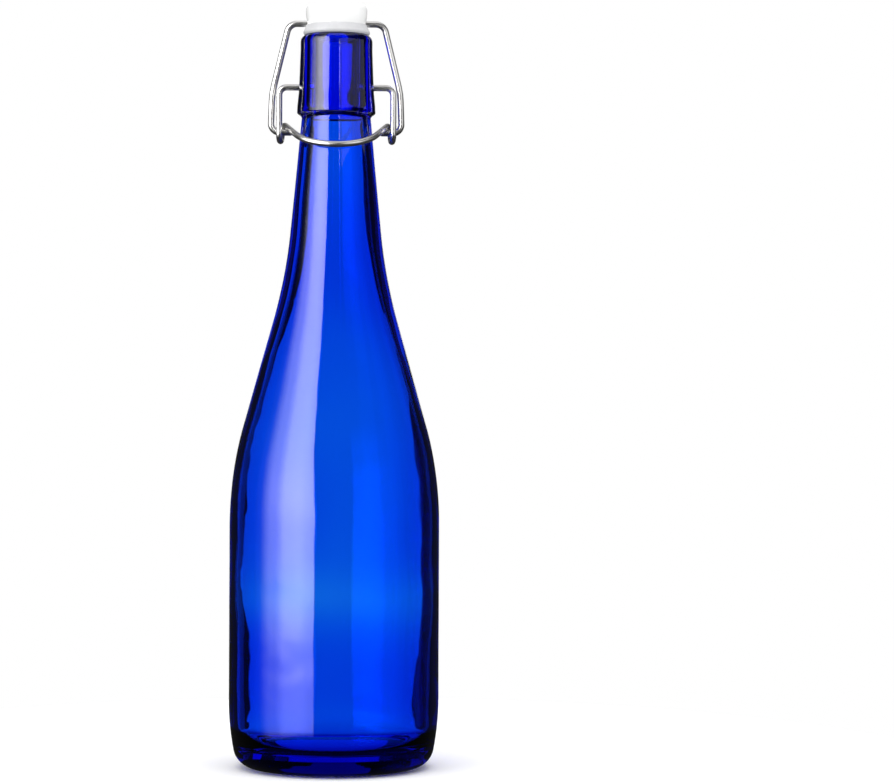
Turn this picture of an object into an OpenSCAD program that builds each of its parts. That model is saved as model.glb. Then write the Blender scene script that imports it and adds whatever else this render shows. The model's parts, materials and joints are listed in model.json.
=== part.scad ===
// Swing top bottle, nominal 750 ml.
// Origin at the centre of the standing face, +Z up the bottle's axis, front (finger ring) at -Y.

/* [Bottle body] */
// Outer radius of the cylindrical body
body_r = 42; // [40:0.5:44]
// Thickness of the body, shoulder and neck wall
wall = 3; // [2.6:0.1:4]
// Height at which the foot has widened to the full body radius
foot_top = 27; // [20:1:35]
// Radius of the long arc that narrows the foot
foot_arc_r = 100; // [80:5:140]
// Height at which the foot arc meets the heel
heel_top = 7; // [5:0.5:9]
// Width of the flat ring that the bottle stands on
standing_w = 2; // [1:0.5:4]
// Height of the hollow under the base, at its centre
punt_h = 5; // [3:0.5:7]
// Height of the inside floor at its centre
floor_h = 10; // [9:0.2:12]

/* [Shoulder and neck] */
// Height at which the cylinder ends and the shoulder begins
shoulder_z = 97; // [80:1:110]
// Radius of the rounded shoulder
shoulder_arc_r = 148; // [120:2:180]
// Lean of the straight cone between shoulder and neck
cone_angle = 15.7; // [14:0.1:17]
// Height of that cone
cone_h = 41; // [36:1:46]
// Radius of the hollow curve between cone and neck
neck_arc_r = 205; // [180:5:240]
// Lean of the neck
neck_angle = 5.6; // [5:0.1:6]

/* [Finish] */
// Height of the lip
lip_z = 292.3; // [290:0.1:295]
// Outer radius of the finish just below the lip
finish_r = 14.4; // [14.2:0.1:15]
// Rounding of the lip, inside and outside
lip_round = 2.8; // [2:0.1:2.8]
// Radius of the bore of the mouth
bore_r = 8.8; // [8.4:0.1:9]
// Height at which the bore opens into the neck
bore_end_z = 252; // [245:1:256]
// Height of the underside of the bead
bead_z = 260.9; // [259:0.1:262]
// Outer radius of the bead
bead_r = 15.7; // [15.4:0.1:16]
// Height of the two pivot dimples
pivot_z = 271.3; // [269:0.1:273]
// Distance of the bottom of a dimple from the axis
dimple_x = 12; // [11.5:0.1:12.5]

/* [Wires] */
// Diameter of both wires
wire_d = 2.5; // [2.3:0.1:2.6]
// Radial running clearance of a wire in its hole
run_clear = 0.07; // [0.02:0.01:0.1]
// Distance of each lever leg from the axis
leg_x = 22.8; // [22.4:0.1:23.2]
// Height of the lowest point of the lever's eye, on the wire's centre line
eye_low_z = 250.1; // [249:0.1:251]
// Depth of the lever's eye
eye_depth = 6.4; // [6.3:0.1:7]
// Centre-line radius of the bends of the eye
eye_bend_r = 3.1; // [2.9:0.1:3.1]
// Centre-line radius of the finger ring
ring_r = 17; // [16.5:0.1:17.5]
// Angle between each side of the finger ring and the front-to-back line
ring_side_angle = 22.5; // [21:0.5:24]
// Downward tilt of the finger ring towards the front
ring_tilt = 24.2; // [22:0.2:26]
// Distance of each bail leg from the axis, at the hook
bail_x = 26.2; // [26:0.1:27]
// Height of the bail's hooks
hook_z = 253.5; // [253.3:0.1:253.6]

/* [Stopper] */
// Height of the bail's cross bar through the stopper
bar_z = 296.7; // [296.5:0.1:297]
// Height of the top of the stopper
stopper_top_z = 304.4; // [303:0.1:306]
// Radius of the head where it meets the flange
head_low_r = 11.4; // [11:0.1:11.8]
// Largest radius of the head
head_r = 12.4; // [12:0.1:12.8]
// Height of the head above the flange
head_z = 295.8; // [295.6:0.1:296]
// Height of the joint between the flange and the gasket
flange_z = 294.6; // [294.4:0.1:294.8]
// Radius of the flange at the gasket
flange_r = 12.8; // [12.5:0.1:13]
// Radius of the spigot that the gasket is stretched on
spigot_r = 6.6; // [6:0.1:7]
// Radius of the knob that keeps the gasket on
knob_r = 7.4; // [7:0.1:7.6]
// Height of the lowest point of the stopper
knob_z = 290; // [289.9:0.1:290.5]
// Largest radius of the gasket
gasket_r = 13.3; // [13:0.1:13.5]
// Gap between the gasket and the lip
seal_gap = 0.3; // [0.2:0.05:0.4]

/* [Hidden] */

wire_r = wire_d / 2;
hole_r = wire_r + run_clear;
eye_mid_z = eye_low_z + eye_bend_r;
hook_y = eye_depth / 2;
gasket_z = lip_z + seal_gap;
knob_top_z = 291.4;
edge_cut = 0.6;
arc_steps = 10;
weld_t = 0.005;

$fn = 96;

// Points of an arc about the centre c, from angle a to angle b.
function arc(c, r, a, b, n = arc_steps) =
    [for (i = [0:n]) c + r * [cos(a + (b - a) * i / n), sin(a + (b - a) * i / n)]];

function flip(points) = [for (i = [len(points) - 1:-1:0]) points[i]];
function unit(v) = v / norm(v);

// ---- Bottle outline, radius against height ----

// The wall of the shoulder, cone and neck, set in from the outside surface by t.
shoulder_c = [body_r - shoulder_arc_r, shoulder_z];
cone_dir = [-sin(cone_angle), cos(cone_angle)];
cone_normal = [cos(cone_angle), sin(cone_angle)];
neck_normal = [cos(neck_angle), sin(neck_angle)];
cone_end = shoulder_c + shoulder_arc_r * cone_normal + cone_dir * cone_h / cos(cone_angle);
neck_c = cone_end + neck_arc_r * cone_normal;
neck_start = neck_c - neck_arc_r * neck_normal;

function shoulder_points(t) = concat(
    arc(shoulder_c, shoulder_arc_r - t, 0, cone_angle, 12),
    arc(neck_c, neck_arc_r + t, 180 + cone_angle, 180 + neck_angle, 8)
);
function neck_r(z) = neck_start[0] - (z - neck_start[1]) * tan(neck_angle);

// The foot arc meets the heel arc with a common tangent.
foot_angle = asin((foot_top - heel_top) / foot_arc_r);
foot_c = [body_r - foot_arc_r, foot_top];
heel_r = heel_top / (1 - sin(foot_angle));
heel_c = foot_c + (foot_arc_r - heel_r) * [cos(foot_angle), -sin(foot_angle)];
ring_in_r = heel_c[0] - standing_w;
punt_edge = [ring_in_r - 1.5, 0.8];
punt_dome_h = punt_h - punt_edge[1];
punt_dome_r = (pow(punt_edge[0], 2) + pow(punt_dome_h, 2)) / (2 * punt_dome_h);
punt_angle = asin(punt_edge[0] / punt_dome_r);

bead_face_z = bead_z + edge_cut;
bead_top_z = 264;
taper_low_z = 269;
taper_mid_z = 274;
taper_top_z = 286;
waist_z = bead_z - 1.2;

outside = concat(
    arc([0, punt_h - punt_dome_r], punt_dome_r, 90, 90 - punt_angle, 6),
    [[ring_in_r, 0]],
    arc(heel_c, heel_r, -90, -foot_angle, 8),
    arc(foot_c, foot_arc_r, -foot_angle, 0, 6),
    shoulder_points(0),
    [
        [neck_r(waist_z), waist_z],
        [neck_r(waist_z) + 0.3, bead_z],
        [bead_r - edge_cut, bead_z],
        [bead_r, bead_face_z],
        [bead_r - 0.1, bead_top_z],
        [bead_r - 0.6, taper_low_z],
        [finish_r + 0.45, taper_mid_z],
        [finish_r, taper_top_z]
    ],
    arc([finish_r - lip_round, lip_z - lip_round], lip_round, 0, 90, 8)
);

inside_r = body_r - wall;
corner_r = 10;
floor_angle = 12;
corner_c = [inside_r - corner_r, 18];
floor_edge_r = corner_c[0] + corner_r * sin(floor_angle);
floor_dome_r = floor_edge_r / sin(floor_angle);

inside = concat(
    arc([0, floor_h - floor_dome_r], floor_dome_r, 90, 90 - floor_angle, 6),
    arc(corner_c, corner_r, floor_angle - 90, 0, 8),
    shoulder_points(wall),
    [
        [bore_r + 1.1, bore_end_z - 9],
        [bore_r, bore_end_z],
        [bore_r, lip_z - lip_round]
    ],
    arc([bore_r + lip_round, lip_z - lip_round], lip_round, 180, 90, 8)
);

// ---- Wire, bent the way a wire bender does it ----

// Straight lengths and bends follow each other, each in the frame that the last one leaves.
function way(c, i) = unit(c[i + 1] - c[i]);
function bend_normal(c, i) = unit(cross(way(c, i), way(c, i + 1)));
function bend_turn(c, i) = acos(way(c, i) * way(c, i + 1));
function bend_roll(c, i) =
    i == 0 ? 0 : atan2(
        cross(bend_normal(c, i - 1), bend_normal(c, i)) * way(c, i),
        bend_normal(c, i - 1) * bend_normal(c, i)
    );
// What the bend at the end of length i takes off the straights on both sides of it.
function bend_cut(c, radii, i) = radii[i] * tan(bend_turn(c, i) / 2);
function straight(c, radii, i) =
    norm(c[i + 1] - c[i])
    - (i > 0 ? bend_cut(c, radii, i - 1) : 0)
    - (i < len(radii) ? bend_cut(c, radii, i) : 0);

// Starts at the origin along +Z and turns towards +X.
module elbow(r, turn) {
    translate([r, 0, 0])
        rotate([90, 0, 180])
            rotate_extrude(angle = turn)
                translate([r, 0])
                    circle(r = wire_r);
}

// A hair-thin collar that makes one solid of the two lengths that meet at the origin.
module weld() {
    cylinder(r = wire_r + weld_t, h = 20 * weld_t, center = true);
}

module wire_from(c, radii, i) {
    run = straight(c, radii, i);
    if (run > 0.001)
        cylinder(r = wire_r, h = run);
    if (i < len(radii))
        translate([0, 0, run])
            rotate([0, 0, bend_roll(c, i)]) {
                weld();
                elbow(radii[i], bend_turn(c, i));
                translate([radii[i], 0, 0])
                    rotate([0, bend_turn(c, i), 0])
                        translate([-radii[i], 0, 0]) {
                            weld();
                            wire_from(c, radii, i + 1);
                        }
            }
}

// A wire through the corners c, with a bend of centre-line radius radii[i] after length i.
module wire(c, radii) {
    z = way(c, 0);
    y = bend_normal(c, 0);
    x = cross(y, z);
    multmatrix([
        [x[0], y[0], z[0], c[0][0]],
        [x[1], y[1], z[1], c[0][1]],
        [x[2], y[2], z[2], c[0][2]],
        [0, 0, 0, 1]
    ])
        wire_from(c, radii, 0);
}

module both_sides() {
    children();
    mirror([1, 0, 0])
        children();
}

// ---- Sub-parts ----

module bottle() {
    color("mediumblue")
        difference() {
            rotate_extrude()
                polygon(concat(outside, flip(inside)));
            for (side = [-1, 1])
                translate([side * dimple_x, 0, pivot_z])
                    rotate([0, side * 90, 0])
                        cylinder(r = hole_r, h = bead_r);
        }
}

// Head, flange, spigot and knob are one moulding, with a hole across it for the bail.
head_edge_r = 2;
head_flare_z = head_z + 3.6;
crown_h = 0.3;
head_outline = concat(
    [
        [0, knob_z],
        [knob_r - edge_cut, knob_z],
        [knob_r, knob_z + edge_cut],
        [knob_r, knob_top_z],
        [spigot_r, knob_top_z],
        [spigot_r, flange_z],
        [flange_r, flange_z],
        [flange_r - 0.2, head_z],
        [head_low_r, head_z],
        [head_low_r + 0.75, head_flare_z]
    ],
    arc([head_r - head_edge_r, stopper_top_z - crown_h - head_edge_r], head_edge_r, 0, 80, 8),
    [[0, stopper_top_z]]
);

module stopper() {
    color("white")
        difference() {
            rotate_extrude()
                polygon(head_outline);
            translate([0, 0, bar_z])
                rotate([0, 90, 0])
                    cylinder(r = hole_r, h = 3 * head_r, center = true);
        }
}

// A flared ring that lies on the lip, with a short cone that enters the mouth.
module gasket() {
    color("gainsboro")
        rotate_extrude()
            polygon([
                [spigot_r, knob_top_z],
                [bore_r - edge_cut, knob_top_z],
                [bore_r + edge_cut, gasket_z],
                [gasket_r - edge_cut / 2, gasket_z],
                [gasket_r, gasket_z + edge_cut],
                [flange_r, flange_z],
                [spigot_r, flange_z]
            ]);
}

// The bail lies in a plane that leans from the hooks to its cross bar through the stopper.
bar_mid = [0, 0, bar_z];
bail_foot = [0, hook_y, hook_z];
bail_up = bar_mid - bail_foot;
bar_end_x = 18.9;
knee_x = bail_x - 0.55;
knee_share = 0.36;
hook_end_x = 17.8;
bail_half = [
    bar_mid,
    bar_mid + [bar_end_x, 0, 0],
    bail_foot + [knee_x, 0, 0] + bail_up * knee_share,
    bail_foot + [bail_x, 0, 0],
    bail_foot + [hook_end_x, 0, 0]
];
bar_bend_r = 4;
knee_bend_r = 30;
hook_bend_r = 3.5;

module bail_wire() {
    color("silver")
        both_sides()
            wire(bail_half, [bar_bend_r, knee_bend_r, hook_bend_r]);
}

// From the middle of the finger ring back to the eye, once round the eye, up the leg and into
// the dimple.
ring_dir = [
    sin(ring_side_angle),
    cos(ring_side_angle) * cos(ring_tilt),
    cos(ring_side_angle) * sin(ring_tilt)
];
ring_cut = ring_r * tan((90 - ring_side_angle) / 2);
eye_back = [leg_x - 0.9, eye_depth, eye_low_z];
eye_top = [eye_back[0], eye_depth, eye_mid_z + eye_bend_r * tan(acos(-ring_dir[2]) / 2)];
ring_corner = eye_top - ring_dir * (eye_top[0] - ring_cut) / ring_dir[0];
pin_bend_r = 3;
lever_half = [
    ring_corner - [ring_cut, 0, 0],
    ring_corner,
    eye_top,
    eye_back,
    [leg_x, 0, eye_low_z],
    [leg_x, 0, pivot_z],
    [dimple_x + 0.3, 0, pivot_z]
];

module lever_wire() {
    color("silver")
        both_sides()
            wire(lever_half, [ring_r, eye_bend_r, eye_bend_r, eye_bend_r, pin_bend_r]);
}

bottle();
stopper();
gasket();
bail_wire();
lever_wire();
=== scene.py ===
import json
from math import acos, asin, ceil, cos, degrees, exp, pi, radians, sin, tan

import bmesh
import bpy
from mathutils import Matrix, Vector, noise


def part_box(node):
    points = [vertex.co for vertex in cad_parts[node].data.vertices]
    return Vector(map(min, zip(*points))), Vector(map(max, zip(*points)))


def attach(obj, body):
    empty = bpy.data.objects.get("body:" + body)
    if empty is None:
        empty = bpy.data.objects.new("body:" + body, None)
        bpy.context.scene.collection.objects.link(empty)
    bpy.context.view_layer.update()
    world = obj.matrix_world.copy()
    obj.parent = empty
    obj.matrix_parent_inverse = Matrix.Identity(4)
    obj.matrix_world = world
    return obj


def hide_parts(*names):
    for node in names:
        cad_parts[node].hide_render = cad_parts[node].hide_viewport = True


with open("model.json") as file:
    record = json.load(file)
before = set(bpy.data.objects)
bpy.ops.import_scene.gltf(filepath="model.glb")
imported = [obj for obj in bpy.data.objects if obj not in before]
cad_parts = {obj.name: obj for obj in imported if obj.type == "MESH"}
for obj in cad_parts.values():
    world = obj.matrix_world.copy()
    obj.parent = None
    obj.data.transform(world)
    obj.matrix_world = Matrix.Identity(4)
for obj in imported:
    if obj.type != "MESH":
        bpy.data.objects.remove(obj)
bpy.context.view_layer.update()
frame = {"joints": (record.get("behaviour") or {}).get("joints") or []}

MM = 0.001

# ---- Sizes, in mm, taken from the frame or repeated from the part ----

joints = {j["name"]: [value / MM for value in j["pos_m"]] for j in frame["joints"]}
pivot_z = joints["lever_swing"][2]
hook_y, hook_z = joints["bail_swing"][1:]
bar_z = joints["stopper_turn"][2]


def box_mm(node):
    low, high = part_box(node)
    return low / MM, high / MM


body_r = box_mm("bottle")[1].x
lip_z = box_mm("bottle")[1].z
knob_z = box_mm("stopper")[0].z
stopper_top_z = box_mm("stopper")[1].z
wire_r = 1.25
hole_r = 1.32
sharp_angle = radians(38)


# ---- Curves ----


def arc(centre, r, start, end, step=3.0):
    """Points of an arc in the XY plane, from one angle in degrees to another."""
    n = max(2, ceil(abs(end - start) / step))
    turns = [radians(start + (end - start) * i / n) for i in range(n + 1)]
    return [Vector((centre[0] + r * cos(t), centre[1] + r * sin(t), 0)) for t in turns]


def rounded(corners, radii, step=6.0):
    """A line through corners, with each inner corner turned on an arc of its radius."""
    corners = [Vector(c).to_3d() for c in corners]
    points = [corners[0]]
    for before, corner, after, r in zip(corners, corners[1:], corners[2:], radii):
        u = (before - corner).normalized()
        v = (after - corner).normalized()
        turn = pi - u.angle(v)
        if r <= 0 or turn < 1e-4:
            points.append(corner)
            continue
        cut = r * tan(turn / 2)
        centre = corner + (u + v).normalized() * r / cos(turn / 2)
        start = corner + u * cut - centre
        axis = start.cross(corner + v * cut - centre).normalized()
        n = max(2, ceil(degrees(turn) / step))
        points += [centre + Matrix.Rotation(turn * i / n, 3, axis) @ start for i in range(n + 1)]
    return points + [corners[-1]]


def filled(points, longest):
    """The same line with no stretch longer than a given length."""
    out = [points[0]]
    for a, b in zip(points, points[1:]):
        n = max(1, ceil((b - a).length / longest))
        out += [a.lerp(b, i / n) for i in range(1, n + 1)]
    return [p for i, p in enumerate(out) if i == 0 or (p - out[i - 1]).length > 1e-4]


# ---- Meshes ----


def new_piece(name, mesh_builder, material, body, node):
    """A smooth-shaded mesh piece under a body, standing for a CAD node that it hides."""
    mesh = bpy.data.meshes.new(name)
    mesh_builder.to_mesh(mesh)
    mesh_builder.free()
    mesh.transform(Matrix.Scale(MM, 4))
    mesh.materials.append(material)
    mesh.shade_smooth()
    mesh.set_sharp_from_angle(angle=sharp_angle)
    piece = bpy.data.objects.new(name, mesh)
    bpy.context.scene.collection.objects.link(piece)
    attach(piece, body)
    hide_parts(node)
    return piece


def even_turns(n):
    return [2 * pi * k / n for k in range(n)]


def revolved(outline, turns, shape=None):
    """A closed body of revolution about Z from (radius, height) points, with a vertex at each turn.

    shape(radius, height, turn, index) may move a point; the outline's ends lie on the axis or meet."""
    bm = bmesh.new()
    on_axis = [p.x < 1e-6 for p in outline]
    rings = []
    for index, p in enumerate(outline):
        if on_axis[index]:
            rings.append([bm.verts.new((0, 0, p.y))])
            continue
        ring = []
        for turn in turns:
            r, z = shape(p.x, p.y, turn, index) if shape else (p.x, p.y)
            ring.append(bm.verts.new((r * cos(turn), r * sin(turn), z)))
        rings.append(ring)
    pairs = list(zip(rings, rings[1:]))
    if not (on_axis[0] and on_axis[-1]):
        pairs.append((rings[-1], rings[0]))
    for low, high in pairs:
        for k in range(len(turns)):
            j = (k + 1) % len(turns)
            corners = [low[k % len(low)], low[j % len(low)], high[j % len(high)], high[k % len(high)]]
            bm.faces.new(list(dict.fromkeys(corners)))
    bmesh.ops.recalc_face_normals(bm, faces=bm.faces)
    return bm


def tube(points, r, sides=24, end_round=0.35):
    """A wire along points, with softened ends and UVs of (length, turn) in mm."""
    bm = bmesh.new()
    uv = bm.loops.layers.uv.new("along")
    ways = [(b - a).normalized() for a, b in zip(points, points[1:])]
    tangents = [ways[0]] + [(a + b).normalized() for a, b in zip(ways, ways[1:])] + [ways[-1]]
    side = tangents[0].orthogonal().normalized()
    frames = []
    length = 0.0
    for i, (p, t) in enumerate(zip(points, tangents)):
        side = (side - t * side.dot(t)).normalized()
        if i:
            length += (p - points[i - 1]).length
        frames.append((p, t, side, length))

    def softened_end(p, inward, t, side, along):
        """Rings of one end, from its face to the full radius."""
        shares = (0.0, 0.3, 0.6, 0.85)
        radii = [r - end_round * (1 - (1 - (1 - s) ** 2) ** 0.5) for s in shares]
        return [(p + inward * end_round * s, t, side, radius, along) for s, radius in zip(shares, radii)]

    p, t, side, along = frames[0]
    stations = softened_end(p, t, t, side, along)
    stations += [
        (p, t, side, r, along) for p, t, side, along in frames if end_round < along < length - end_round
    ]
    p, t, side, along = frames[-1]
    stations += softened_end(p, -t, t, side, along)[::-1]
    rings = []
    for p, t, side, radius, along in stations:
        other = t.cross(side)
        ring = [bm.verts.new(p + (side * cos(a) + other * sin(a)) * radius) for a in even_turns(sides)]
        rings.append((ring, along))
    for (low, low_along), (high, high_along) in zip(rings, rings[1:]):
        for k in range(sides):
            j = (k + 1) % sides
            face = bm.faces.new((low[k], low[j], high[j], high[k]))
            along = (low_along, low_along, high_along, high_along)
            for loop, u, v in zip(face.loops, along, (k, k + 1, k + 1, k)):
                loop[uv].uv = (u, v * 2 * pi * r / sides)
    for ring in (rings[0][0], rings[-1][0]):
        middle = bm.verts.new(sum((v.co for v in ring), Vector()) / sides)
        for k in range(sides):
            bm.faces.new((ring[k], ring[(k + 1) % sides], middle))
    bmesh.ops.recalc_face_normals(bm, faces=bm.faces)
    return bm


def cut_round_hole(piece, outline, axis, height):
    """Takes a round hole out of a piece: a revolved outline, with Z turned to axis, at a height."""
    bm = revolved([Vector(p).to_3d() for p in outline], even_turns(48))
    turned = Vector(axis).to_track_quat("Z", "Y").to_matrix().to_4x4()
    bm.transform(Matrix.Scale(MM, 4) @ Matrix.Translation((0, 0, height)) @ turned)
    mesh = bpy.data.meshes.new("hole")
    bm.to_mesh(mesh)
    bm.free()
    cutter = bpy.data.objects.new("hole", mesh)
    bpy.context.scene.collection.objects.link(cutter)
    cut = piece.modifiers.new("hole", "BOOLEAN")
    cut.object = cutter
    cut.operation = "DIFFERENCE"
    cut.solver = "EXACT"
    bpy.context.view_layer.update()
    evaluated = piece.evaluated_get(bpy.context.evaluated_depsgraph_get())
    result = bpy.data.meshes.new_from_object(evaluated)
    piece.modifiers.clear()
    piece.data = result
    bpy.data.objects.remove(cutter)
    piece.data.shade_smooth()
    piece.data.set_sharp_from_angle(angle=sharp_angle)


# ---- Materials ----


def material(name):
    """A new node material and its Principled shader."""
    m = bpy.data.materials.new(name)
    m.use_nodes = True
    return m, m.node_tree, m.node_tree.nodes["Principled BSDF"]


def node(tree, kind, links=None, **values):
    """A shader node; links join its inputs to sockets, values set its properties."""
    n = tree.nodes.new(kind)
    for key, value in values.items():
        setattr(n, key, value)
    for key, value in (links or {}).items():
        if isinstance(value, bpy.types.NodeSocket):
            tree.links.new(value, n.inputs[key])
        else:
            n.inputs[key].default_value = value
    return n


def glass_material():
    m, tree, shader = material("cobalt_glass")
    shader.inputs["Base Color"].default_value = (1, 1, 1, 1)
    shader.inputs["IOR"].default_value = 1.5
    shader.inputs["Transmission Weight"].default_value = 1.0
    shader.inputs["Roughness"].default_value = 0.0
    place = node(tree, "ShaderNodeTexCoord").outputs["Object"]
    waves = node(tree, "ShaderNodeTexNoise", {"Vector": place, "Scale": 45.0, "Detail": 2.0})
    bump = node(tree, "ShaderNodeBump", {"Height": waves.outputs[0], "Strength": 0.06, "Distance": 0.002})
    tree.links.new(bump.outputs[0], shader.inputs["Normal"])
    tint = node(tree, "ShaderNodeVolumeAbsorption")
    tint.inputs["Color"].default_value = (0.0, 0.653, 0.98, 1)
    tint.inputs["Density"].default_value = 1250.0
    tree.links.new(tint.outputs[0], tree.nodes["Material Output"].inputs["Volume"])
    return m


def steel_material():
    m, tree, shader = material("drawn_steel")
    shader.inputs["Base Color"].default_value = (0.80, 0.79, 0.775, 1)
    shader.inputs["Metallic"].default_value = 1.0
    along = node(tree, "ShaderNodeTexCoord").outputs["UV"]
    stretch = node(tree, "ShaderNodeMapping", {"Vector": along, "Scale": (0.25, 6.0, 1.0)})
    lines = node(tree, "ShaderNodeTexNoise", {"Vector": stretch.outputs[0], "Scale": 1.0, "Detail": 3.0})
    rough = node(tree, "ShaderNodeMapRange", {"Value": lines.outputs[0], "To Min": 0.24, "To Max": 0.36})
    tree.links.new(rough.outputs[0], shader.inputs["Roughness"])
    bump = node(tree, "ShaderNodeBump", {"Height": lines.outputs[0], "Strength": 0.08, "Distance": 0.0003})
    tree.links.new(bump.outputs[0], shader.inputs["Normal"])
    return m


def plastic_material():
    m, tree, shader = material("white_plastic")
    place = node(tree, "ShaderNodeTexCoord").outputs["Object"]
    cloud = node(tree, "ShaderNodeTexNoise", {"Vector": place, "Scale": 220.0, "Detail": 3.0})
    tone = node(tree, "ShaderNodeMix", {"Factor": cloud.outputs[0]}, data_type="RGBA")
    tone.inputs["A"].default_value = (0.83, 0.835, 0.84, 1)
    tone.inputs["B"].default_value = (0.88, 0.88, 0.875, 1)
    tree.links.new(tone.outputs["Result"], shader.inputs["Base Color"])
    rough = node(tree, "ShaderNodeMapRange", {"Value": cloud.outputs[0], "To Min": 0.16, "To Max": 0.26})
    tree.links.new(rough.outputs[0], shader.inputs["Roughness"])
    shader.inputs["Coat Weight"].default_value = 0.3
    shader.inputs["Coat Roughness"].default_value = 0.08
    grain = node(tree, "ShaderNodeTexNoise", {"Vector": place, "Scale": 2500.0, "Detail": 2.0})
    bump = node(tree, "ShaderNodeBump", {"Height": grain.outputs[0], "Strength": 0.06, "Distance": 0.0001})
    tree.links.new(bump.outputs[0], shader.inputs["Normal"])
    return m


def silicone_material():
    m, tree, shader = material("clear_silicone")
    place = node(tree, "ShaderNodeTexCoord").outputs["Object"]
    cloud = node(tree, "ShaderNodeTexNoise", {"Vector": place, "Scale": 400.0, "Detail": 2.0})
    tone = node(tree, "ShaderNodeMix", {"Factor": cloud.outputs[0]}, data_type="RGBA")
    tone.inputs["A"].default_value = (0.52, 0.525, 0.54, 1)
    tone.inputs["B"].default_value = (0.60, 0.60, 0.615, 1)
    tree.links.new(tone.outputs["Result"], shader.inputs["Base Color"])
    shader.inputs["Roughness"].default_value = 0.42
    shader.inputs["Subsurface Weight"].default_value = 0.4
    shader.inputs["Subsurface Radius"].default_value = (0.002, 0.002, 0.002)
    return m


# ---- Bottle ----

wall = 3.0
foot_top = 27.0
foot_arc_r = 100.0
heel_top = 7.0
standing_w = 2.0
punt_h = 5.0
floor_h = 10.0
shoulder_z = 97.0
shoulder_arc_r = 148.0
cone_angle = 15.7
cone_h = 41.0
neck_arc_r = 205.0
neck_angle = 5.6
finish_r = 14.4
lip_round = 2.8
bore_r = 8.8
bore_end_z = 252.0
throat_z = 259.0
bead_z = 260.9
bead_r = 15.7
dimple_x = 12.0
seam_h = 0.06
finish_seam_h = 0.13
seam_w = 0.2
seam_turns = [radians(angle) for angle in (-84.4, 95.6)]
knurls = 96
knurl_h = 0.16


def polar(r, angle):
    return Vector((r * cos(radians(angle)), r * sin(radians(angle)), 0))


shoulder_c = Vector((body_r - shoulder_arc_r, shoulder_z, 0))
cone_run = polar(cone_h / cos(radians(cone_angle)), 90 + cone_angle)
cone_end = shoulder_c + polar(shoulder_arc_r, cone_angle) + cone_run
neck_c = cone_end + polar(neck_arc_r, cone_angle)
neck_start = neck_c - polar(neck_arc_r, neck_angle)


def shoulder_points(depth):
    """Shoulder, cone and neck, set in from the outside by depth."""
    return arc(shoulder_c, shoulder_arc_r - depth, 0, cone_angle, 0.8) + arc(
        neck_c, neck_arc_r + depth, 180 + cone_angle, 180 + neck_angle, 0.8
    )


def neck_r(z):
    return neck_start.x - (z - neck_start.y) * tan(radians(neck_angle))


def outside_line():
    foot_angle = degrees(asin((foot_top - heel_top) / foot_arc_r))
    foot_c = Vector((body_r - foot_arc_r, foot_top, 0))
    heel_r = heel_top / (1 - sin(radians(foot_angle)))
    heel_c = foot_c + polar(foot_arc_r - heel_r, -foot_angle)
    ring_in_r = heel_c.x - standing_w
    punt_r = ring_in_r - 1.5
    dome_h = punt_h - 0.8
    dome_r = (punt_r**2 + dome_h**2) / (2 * dome_h)
    dome_angle = degrees(asin(punt_r / dome_r))
    punt = arc((0, punt_h - dome_r), dome_r, 90, 90 - dome_angle, 0.8)
    ring = rounded([punt[-1], (ring_in_r, 0), (heel_c.x, 0)], [1.6], 10)[1:-1]
    heel = arc(heel_c, heel_r, -90, -foot_angle, 4)
    foot = arc(foot_c, foot_arc_r, -foot_angle, 0, 1)
    waist_z = bead_z - 1.2
    finish = rounded(
        [
            shoulder_points(0)[-1],
            (neck_r(waist_z), waist_z),
            (bead_r - 0.9, bead_z - 0.8),
            (bead_r, bead_z + 0.1),
            (bead_r - 0.1, 264),
            (bead_r - 0.6, 269),
            (finish_r + 0.45, 274),
            (finish_r, 286),
            (finish_r, lip_z - lip_round),
        ],
        [1.2, 0.5, 0.5, 12, 12, 12, 12],
        9,
    )[1:]
    lip = arc((finish_r - lip_round, lip_z - lip_round), lip_round, 0, 90, 6)
    return punt + ring + heel + foot + shoulder_points(0) + finish + lip[1:]


def inside_line():
    corner_r = 10
    floor_angle = 12
    corner_c = (body_r - wall - corner_r, 18)
    floor_edge_r = corner_c[0] + corner_r * sin(radians(floor_angle))
    dome_r = floor_edge_r / sin(radians(floor_angle))
    floor = arc((0, floor_h - dome_r), dome_r, 90, 90 - floor_angle, 0.8)
    corner = arc(corner_c, corner_r, floor_angle - 90, 0, 5)
    throat = rounded(
        [
            shoulder_points(wall)[-1],
            (neck_r(throat_z) - wall, throat_z),
            (bore_r, throat_z + 4),
            (bore_r, lip_z - lip_round),
        ],
        [3, 3],
        6,
    )[1:]
    lip = arc((bore_r + lip_round, lip_z - lip_round), lip_round, 180, 90, 6)
    return floor + corner[1:] + shoulder_points(wall) + throat + lip[1:]


def share(value, start, end):
    """How far a value is from start to end, from 0 to 1, with a smooth start and stop."""
    t = min(1.0, max(0.0, (value - start) / (end - start)))
    return t * t * (3 - 2 * t)


def seam_gap(turn, seam):
    """The angle between a turn and a seam."""
    return abs((turn - seam + pi) % (2 * pi) - pi)


def bottle_turns():
    """Even steps round the bottle, with finer ones across each mould seam."""
    fine = [radians(step) for step in (-2.4, -1.7, -1.2, -0.8, -0.4, 0, 0.4, 0.8, 1.2, 1.7, 2.4)]
    turns = [(seam + step) % (2 * pi) for seam in seam_turns for step in fine]
    for turn in even_turns(2 * knurls):
        if all(seam_gap(turn, seam) > radians(2.8) for seam in seam_turns):
            turns.append(turn)
    return sorted(turns)


def wall_change(z):
    """How much thinner the blown wall is at a height than the CAD wall: the glass spread unevenly."""
    thin_band = 0.62 * exp(-(((z - 67) / 13) ** 2))
    thin_shoulder = 0.2 * exp(-(((z - 142) / 25) ** 2))
    thick_neck = 0.7 * exp(-(((z - 205) / 32) ** 2))
    thick_foot = 0.55 * share(z, 66, 34)
    return thin_band + thin_shoulder - thick_neck - thick_foot


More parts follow.
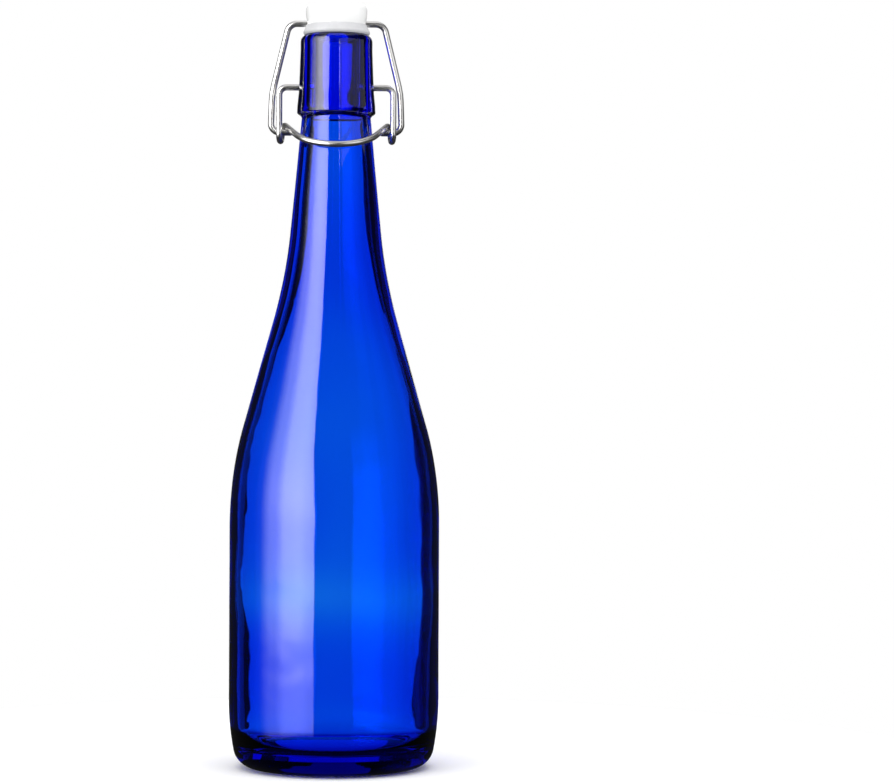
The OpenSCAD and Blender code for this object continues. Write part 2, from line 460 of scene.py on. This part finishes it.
def bottle_mesh():
    outside = filled(outside_line(), 3.0)
    inside = filled(inside_line(), 3.0)[::-1]
    outline = outside + inside[1:]
    last_outside = len(outside) - 1

    def shape(r, z, turn, index):
        """The blown inside wanders; the moulded outside has faint waves, two seams and a knurled foot."""
        place = Vector((r * cos(turn), r * sin(turn), z))
        if index > last_outside:
            wander = noise.noise(place * 0.03) * 0.3 + noise.noise(place * 0.08 + Vector((7, 3, 1))) * 0.04
            wander *= share(z, bore_end_z - 10, bore_end_z - 50)
            return r + wander + wall_change(z) * share(z, 9, 14), z
        body = share(z, 3, 23) * share(z, bead_z - 4, bead_z - 24)
        wave = noise.noise(place * 0.05 + Vector((2, 9, 4))) * 0.05 - 0.05
        gap = min(seam_gap(turn, seam) for seam in seam_turns) * r
        ridge = exp(-((gap / seam_w) ** 2) / 2) * share(z, lip_z, lip_z - 3)
        finish = share(z, bead_z - 60, bead_z - 10)
        ridge *= seam_h * body * (1 - finish) + finish_seam_h * finish
        knurl = knurl_h / 2 * (1 + cos(knurls * turn)) * share(z, 0.5, 0)
        return r + (wave - seam_h) * body + ridge, z + knurl

    return revolved(outline, bottle_turns(), shape)


glass = glass_material()
bottle = new_piece("glass_bottle", bottle_mesh(), glass, "bottle", "bottle")
past_glass = bead_r + 2
dimple = [
    (0, dimple_x),
    (hole_r - 0.3, dimple_x),
    (hole_r, dimple_x + 0.3),
    (hole_r, past_glass),
    (0, past_glass),
]
for side in (-1, 1):
    cut_round_hole(bottle, dimple, (side, 0, 0), pivot_z)

# ---- Wires ----

leg_x = 22.8
eye_low_z = 250.1
eye_depth = 2 * hook_y
eye_bend_r = 3.1
ring_r = 17.0
ring_side_angle = radians(22.5)
ring_tilt = radians(24.2)
bail_x = 26.2


def mirrored(half):
    """A whole wire from the half that starts in the plane X = 0."""
    return [Vector((-p.x, p.y, p.z)) for p in half[:0:-1]] + half


def bail_line():
    bar = Vector((0, 0, bar_z))
    foot = Vector((0, hook_y, hook_z))
    corners = [
        bar,
        bar + Vector((18.9, 0, 0)),
        foot + (bar - foot) * 0.36 + Vector((bail_x - 0.55, 0, 0)),
        foot + Vector((bail_x, 0, 0)),
        foot + Vector((17.8, 0, 0)),
    ]
    return mirrored(rounded(corners, [4, 30, 3.5]))


def lever_line():
    ring_dir = Vector((
        sin(ring_side_angle),
        cos(ring_side_angle) * cos(ring_tilt),
        cos(ring_side_angle) * sin(ring_tilt),
    ))
    ring_cut = ring_r * tan((pi / 2 - ring_side_angle) / 2)
    eye_back = Vector((leg_x - 0.9, eye_depth, eye_low_z))
    lift = eye_bend_r * (1 + tan(acos(-ring_dir.z) / 2))
    eye_top = eye_back + Vector((0, 0, lift))
    ring_corner = eye_top - ring_dir * (eye_top.x - ring_cut) / ring_dir.x
    corners = [
        ring_corner - Vector((ring_cut, 0, 0)),
        ring_corner,
        eye_top,
        eye_back,
        (leg_x, 0, eye_low_z),
        (leg_x, 0, pivot_z),
        (dimple_x + 0.3, 0, pivot_z),
    ]
    return mirrored(rounded(corners, [ring_r, eye_bend_r, eye_bend_r, eye_bend_r, 3]))


steel = steel_material()
bail_mesh = tube(filled(bail_line(), 2.5), wire_r)
bail = new_piece("steel_bail", bail_mesh, steel, "bail", "bail_wire")
lever_mesh = tube(filled(lever_line(), 2.5), wire_r)
lever = new_piece("steel_lever", lever_mesh, steel, "lever", "lever_wire")

# ---- Stopper and gasket ----

head_low_r = 11.4
head_r = 12.4
head_z = 295.8
flange_z = 294.6
flange_r = 12.0
spigot_r = 6.6
knob_r = 7.4
knob_top_z = 291.4
gasket_r = 13.3
gasket_low_z = lip_z + 0.04


def stopper_mesh():
    outline = rounded(
        [
            (0, knob_z),
            (knob_r, knob_z),
            (knob_r, knob_top_z),
            (spigot_r, knob_top_z),
            (spigot_r, flange_z),
            (flange_r, flange_z),
            (flange_r, head_z),
            (head_low_r, head_z),
            (head_low_r + 0.8, head_z + 3.8),
            (head_r, stopper_top_z - 0.25),
            (0, stopper_top_z),
        ],
        [0.6, 0.1, 0.1, 0.15, 0.15, 0.15, 0.2, 8, 1.9],
        15,
    )
    return revolved(filled(outline, 1.5), even_turns(128))


def gasket_mesh():
    """A soft cap that holds the stopper's flange in its groove and droops over the lip."""
    corners = [
        (spigot_r, knob_top_z),
        (bore_r - 0.6, knob_top_z),
        (bore_r + 0.7, gasket_low_z),
        (finish_r - lip_round, gasket_low_z),
        (gasket_r - 0.5, gasket_low_z - 0.18),
        (gasket_r, gasket_low_z + 0.6),
        (gasket_r, gasket_low_z + 1.2),
        (head_low_r + 0.55, head_z + 0.45),
        (head_low_r + 0.1, head_z + 0.45),
        (head_low_r + 0.1, head_z + 0.05),
        (flange_r + 0.05, head_z + 0.05),
        (flange_r + 0.05, flange_z),
        (spigot_r, flange_z),
        (spigot_r, knob_top_z),
    ]
    radii = [0.3, 0.3, 1.5, 0.3, 0.4, 0.5, 0.2, 0.1, 0.05, 0.05, 0.1, 0.0]
    return revolved(filled(rounded(corners, radii, 15), 1.5)[:-1], even_turns(128))


plastic = plastic_material()
stopper = new_piece("white_stopper", stopper_mesh(), plastic, "stopper", "stopper")
silicone = silicone_material()
gasket = new_piece("silicone_gasket", gasket_mesh(), silicone, "stopper", "gasket")
past_head = head_r + 2.6
bar_hole = [(0, -past_head), (hole_r, -past_head), (hole_r, past_head), (0, past_head)]
for piece in (stopper, gasket):
    cut_round_hole(piece, bar_hole, (1, 0, 0), bar_z)

# ---- Floor, light and camera ----


def floor_disc():
    bm = bmesh.new()
    bmesh.ops.create_circle(bm, cap_ends=True, segments=96, radius=0.26)
    mesh = bpy.data.meshes.new("floor")
    bm.to_mesh(mesh)
    bm.free()
    m, tree, shader = material("pale_floor")
    shader.inputs["Base Color"].default_value = (0.92, 0.92, 0.92, 1)
    shader.inputs["Roughness"].default_value = 0.9
    shader.inputs["Specular IOR Level"].default_value = 0.0
    mesh.materials.append(m)
    floor = bpy.data.objects.new("floor", mesh)
    floor.location.z = -0.0002
    floor.visible_glossy = False
    floor.visible_transmission = False
    bpy.context.scene.collection.objects.link(floor)


def studio_world():
    """What surrounds the bottle: white to the eye and to matt surfaces, a studio to shiny ones.

    Angles are in degrees, with turn from +Y towards +X and height above the horizon. The studio is
    a narrow backdrop behind the bottle, a large softbox on the left that fades to its far side and
    its foot, and dark walls. Glass also shows what is behind it: a backdrop for each other standard
    view, the white table under the main backdrop, and a lower foot of the softbox. Reflections also
    show a bright ceiling."""
    world = bpy.data.worlds.new("studio")
    bpy.context.scene.world = world
    world.use_nodes = True
    tree = world.node_tree
    tree.nodes["Background"].inputs["Color"].default_value = (1, 1, 1, 1)
    way = node(tree, "ShaderNodeTexCoord").outputs["Generated"]
    towards_x, towards_y, up = node(tree, "ShaderNodeSeparateXYZ", {0: way}).outputs

    def math(operation, *values):
        links = dict(enumerate(values))
        return node(tree, "ShaderNodeMath", links, operation=operation).outputs[0]

    def product(first, *others):
        for value in others:
            first = math("MULTIPLY", first, value)
        return first

    def total(first, *others):
        for value in others:
            first = math("ADD", first, value)
        return first

    def ramp(value, *stops):
        """A smooth curve through (value, level) stops."""
        level = stops[0][1]
        for (start, low), (end, high) in zip(stops, stops[1:]):
            links = {"Value": value, "From Min": start, "From Max": end, "To Max": high - low}
            rise = node(tree, "ShaderNodeMapRange", links, interpolation_type="SMOOTHSTEP")
            level = total(level, rise.outputs[0])
        return level

    turn = product(math("ARCTAN2", towards_x, towards_y), degrees(1))
    height = product(math("ARCSINE", up), degrees(1))

    def backdrop(middle, right=8.5):
        off = math("WRAP", math("SUBTRACT", turn, middle), 180, -180)
        return ramp(off, (-13, 0), (-12.2, 0.92), (right - 0.8, 0.92), (right, 0))

    left_rise = [(-9.5, 1.4), (-3, 1.3), (-1.5, 1.15), (1, 1.12), (3, 1), (5.5, 1), (6.8, 0.8)]
    left_scale = ramp(height, *left_rise)
    right_scale = ramp(height, (-9.5, 0.93), (-1, 0.87), (4.5, 0.5), (6.5, 0.46), (10, 0.33))
    main_left = ramp(product(turn, left_scale), (-13, 0), (-12.2, 1.06), (-2, 0.92))
    main_right = ramp(product(turn, right_scale), (7.7, 1), (8.5, 0))
    main = product(main_left, main_right)
    main_height = ramp(height, (-14, 0), (-10, 1), (30, 1), (40, 0))
    table_height = ramp(height, (-45, 0), (-30, 0.6), (-14, 0.9), (-10, 0))

    box_lean = ramp(height, (0, 0), (30, 4.5))
    box_edge = ramp(math("SUBTRACT", turn, box_lean), (-159, 0), (-157, 1))
    box_fade = [(-157, 7.6), (-140, 9.8), (-127, 9.0), (-110, 4.0), (-89, 0.1), (-80, 0)]
    box = product(box_edge, ramp(turn, *box_fade))
    box_rise = [(-18.5, 0), (-14.5, 0.27), (-6.4, 0.3), (-3.4, 0.8), (5.6, 0.98)]
    box_fall = [(20, 0.85), (31, 0.8), (50, 0)]
    box_height = ramp(height, *box_rise, *box_fall)
    box_foot = ramp(height, (-32, 0), (-20, 0.35), (-6.4, 0.35), (-3.4, 0))

    walls = ramp(towards_y, (-0.2, 0.01), (0.6, 0.02))
    ceiling = ramp(height, (45, 0), (70, 1.0))
    through_glass = total(
        backdrop(-45, 4),
        backdrop(-90),
        backdrop(135),
        product(main, table_height),
        product(box, box_foot),
    )
    path = node(tree, "ShaderNodeLightPath").outputs

    def choice(ray, otherwise, chosen):
        """One value for a kind of ray, another for the rest."""
        links = {"Factor": path[ray], "A": otherwise, "B": chosen}
        return node(tree, "ShaderNodeMix", links).outputs[0]

    extra = choice("Is Transmission Ray", ceiling, through_glass)
    studio = total(walls, product(box, box_height), product(main, main_height), extra)
    seen = choice("Is Camera Ray", choice("Is Glossy Ray", 1.0, studio), 1.0)
    tree.links.new(seen, tree.nodes["Background"].inputs["Strength"])


def softbox(name, place, aim, size, watts, reflected=False, only=()):
    """A rectangular area light; only= names the pieces that it lights, if not all."""
    data = bpy.data.lights.new(name, "AREA")
    data.shape = "RECTANGLE"
    data.size, data.size_y = size
    data.energy = watts
    light = bpy.data.objects.new(name, data)
    light.location = place
    light.rotation_euler = (Vector(aim) - Vector(place)).to_track_quat("-Z", "Y").to_euler()
    light.visible_camera = False
    light.visible_glossy = reflected
    light.visible_transmission = False
    bpy.context.scene.collection.objects.link(light)
    if only:
        receivers = bpy.data.collections.new(name)
        for piece in only:
            receivers.objects.link(piece)
        light.light_linking.receiver_collection = receivers


def camera():
    data = bpy.data.cameras.new("camera")
    data.lens = 116.78
    data.sensor_width = 36
    cam = bpy.data.objects.new("camera", data)
    cam.location = (0, -1.16, 0.1503)
    lean = radians(0.25)  # The bottle in the photo leans by this much.
    cam.rotation_euler = (pi / 2, -lean, -radians(2.21))
    bpy.context.scene.collection.objects.link(cam)
    bpy.context.scene.camera = cam


floor_disc()
studio_world()
softbox("left_softbox", (-0.9, -0.75, 0.5), (0, 0, 0.15), (0.8, 0.8), 3.5)
softbox("top_softbox", (0, -0.3, 1.3), (0, 0, 0), (1.2, 1.2), 9)
softbox("wire_softbox", (0.75, -0.8, 0.45), (0, 0, 0.27), (0.9, 0.9), 2.2, True, (bail, lever))
softbox("mouth_card", (0.1045, -0.0773, 0.2985), (0, 0, 0.2985), (0.23, 0.043), 0.018, True)
camera()
bpy.context.scene.view_settings.view_transform = "Standard"
